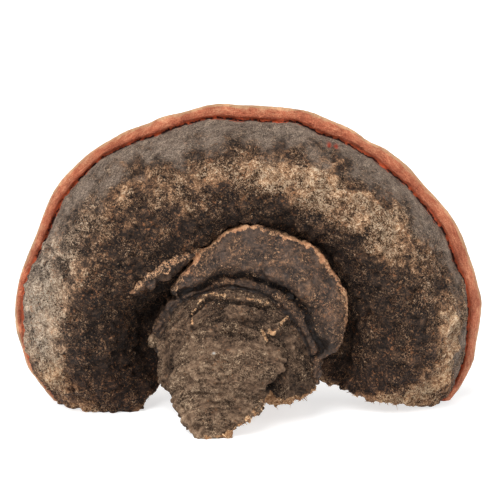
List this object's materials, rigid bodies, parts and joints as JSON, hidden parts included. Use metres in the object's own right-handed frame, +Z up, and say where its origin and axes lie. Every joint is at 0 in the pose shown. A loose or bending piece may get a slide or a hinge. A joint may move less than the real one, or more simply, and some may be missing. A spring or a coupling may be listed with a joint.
{
  "type": "reishi mushroom",
  "caption": "Stalkless bracket reishi fungus: a woody fan of yearly growths with a rolled crust, rounded margin and pore face, standing on its cut edge.",
  "frame": {"origin": "on the floor, under the middle of the bracket's box", "axes": "+Z up; +X along the width, to the right seen from the crust side; +Y from the crust side to the pore face, through the thickness"},
  "size_m": [0.2027, 0.0681, 0.1309],
  "materials": {
    "crust": "matt mottled crust, red-brown satin margin"
  },
  "bodies": {
    "root": {"bracket": "crust"}
  },
  "joints": []
}
